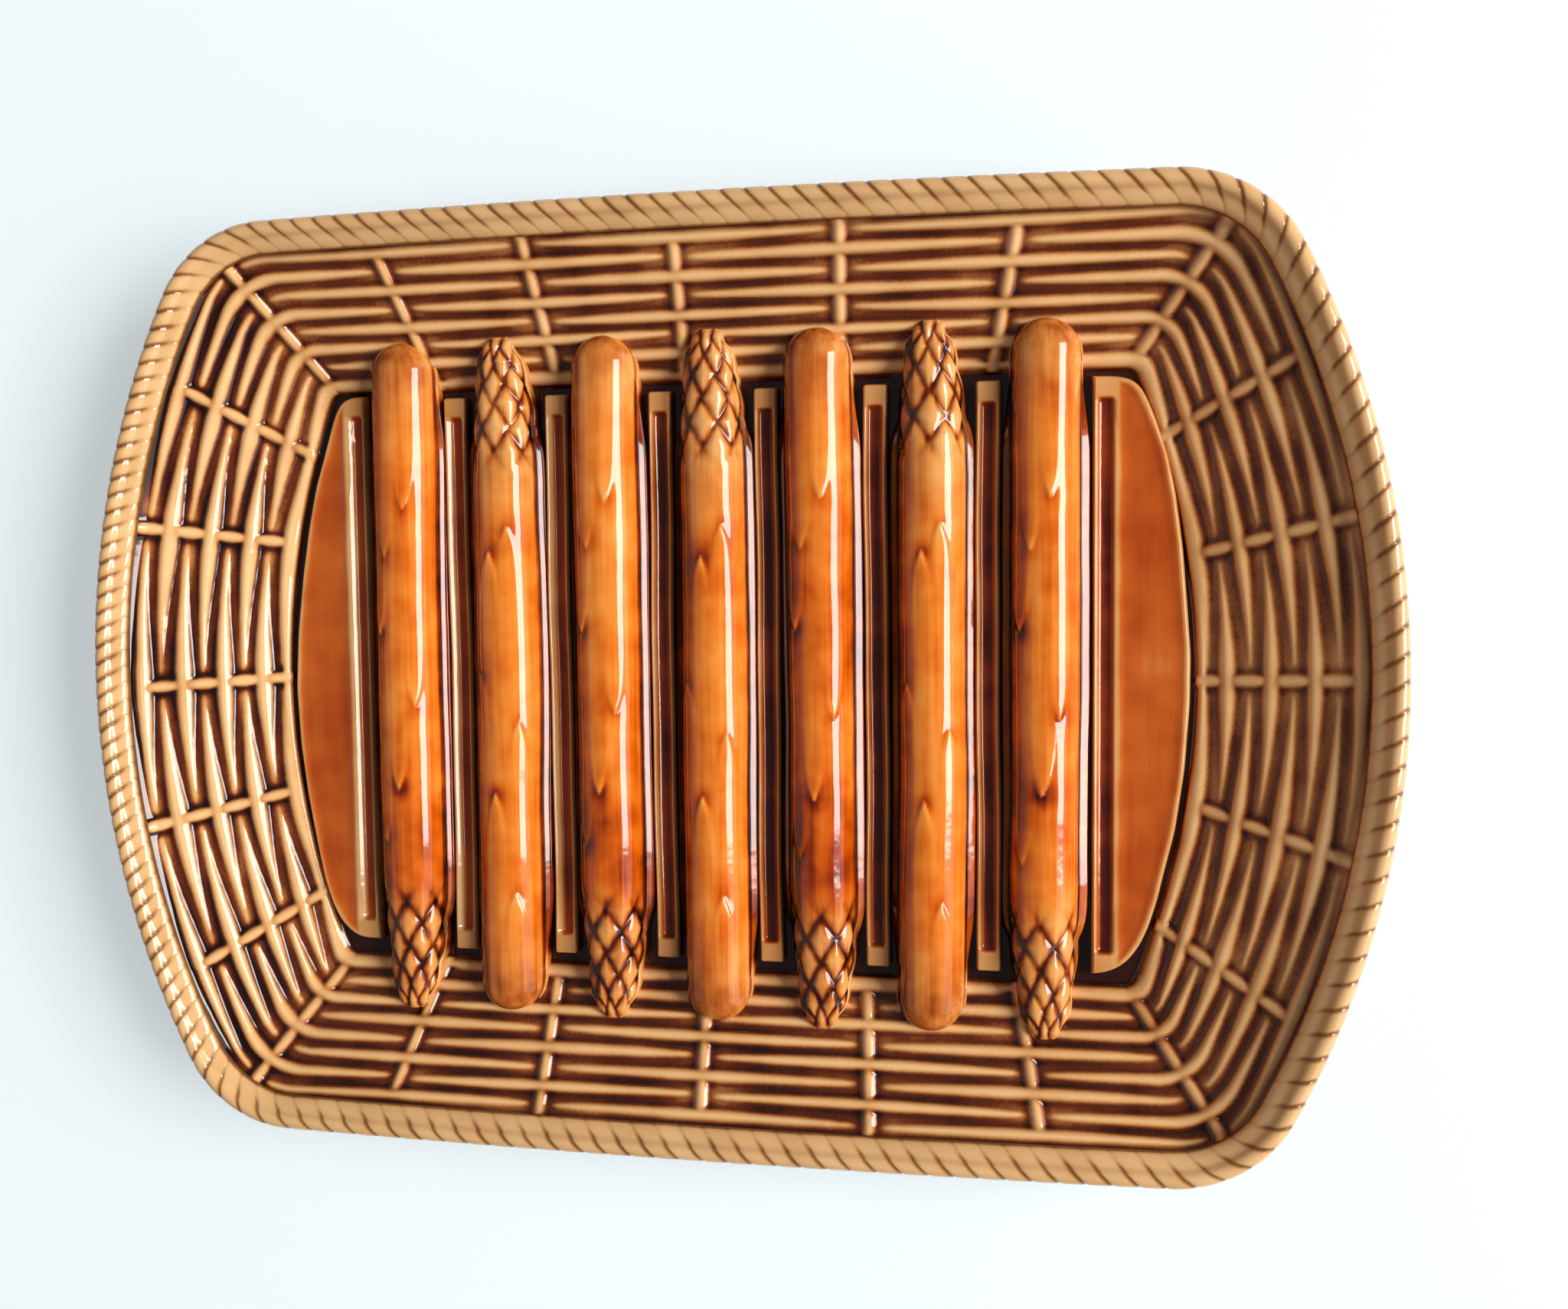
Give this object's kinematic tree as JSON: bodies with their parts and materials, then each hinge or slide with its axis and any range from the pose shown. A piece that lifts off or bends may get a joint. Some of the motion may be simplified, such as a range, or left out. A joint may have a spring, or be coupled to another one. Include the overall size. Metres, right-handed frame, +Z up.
{
  "type": "asparagus plate",
  "caption": "Oblong glazed earthenware plate with a basket-weave wall, a rope border and moulded asparagus spears that hold food above drip channels.",
  "frame": {"origin": "middle of the plate, on the surface that it stands on", "axes": "+X along the plate, +Y across it towards the far side, +Z up out of the open dish"},
  "size_m": [0.3698, 0.268, 0.035],
  "materials": {
    "brown_glazed_body": "glossy, dark where the glaze pools",
    "honey_glazed_rope": "glossy",
    "honey_glazed_weave": "glossy",
    "brown_glazed_lands": "glossy",
    "amber_glazed_spears": "glossy, with fine streaks",
    "honey_glazed_scales": "glossy"
  },
  "bodies": {
    "root": {"dish_body": "brown_glazed_body", "foot_ring": "brown_glazed_body", "rope_border": "honey_glazed_rope", "woven_row_1": "honey_glazed_weave", "woven_row_2": "honey_glazed_weave", "woven_row_3": "honey_glazed_weave", "woven_row_4": "honey_glazed_weave", "woven_row_5": "honey_glazed_weave", "woven_row_6": "honey_glazed_weave", "woven_row_7": "honey_glazed_weave", "woven_row_8": "honey_glazed_weave", "far_side_stakes": "honey_glazed_weave", "right_end_stakes": "honey_glazed_weave", "near_side_stakes": "honey_glazed_weave", "left_end_stakes": "honey_glazed_weave", "corner_stakes": "honey_glazed_weave", "drip_lands": "brown_glazed_lands", "left_end_panel": "brown_glazed_lands", "right_end_panel": "brown_glazed_lands", "spear_1": "amber_glazed_spears", "spear_2": "amber_glazed_spears", "spear_3": "amber_glazed_spears", "spear_4": "amber_glazed_spears", "spear_5": "amber_glazed_spears", "spear_6": "amber_glazed_spears", "spear_7": "amber_glazed_spears", "tip_scales": "honey_glazed_scales", "stalk_leaves": "amber_glazed_spears"}
  },
  "joints": []
}
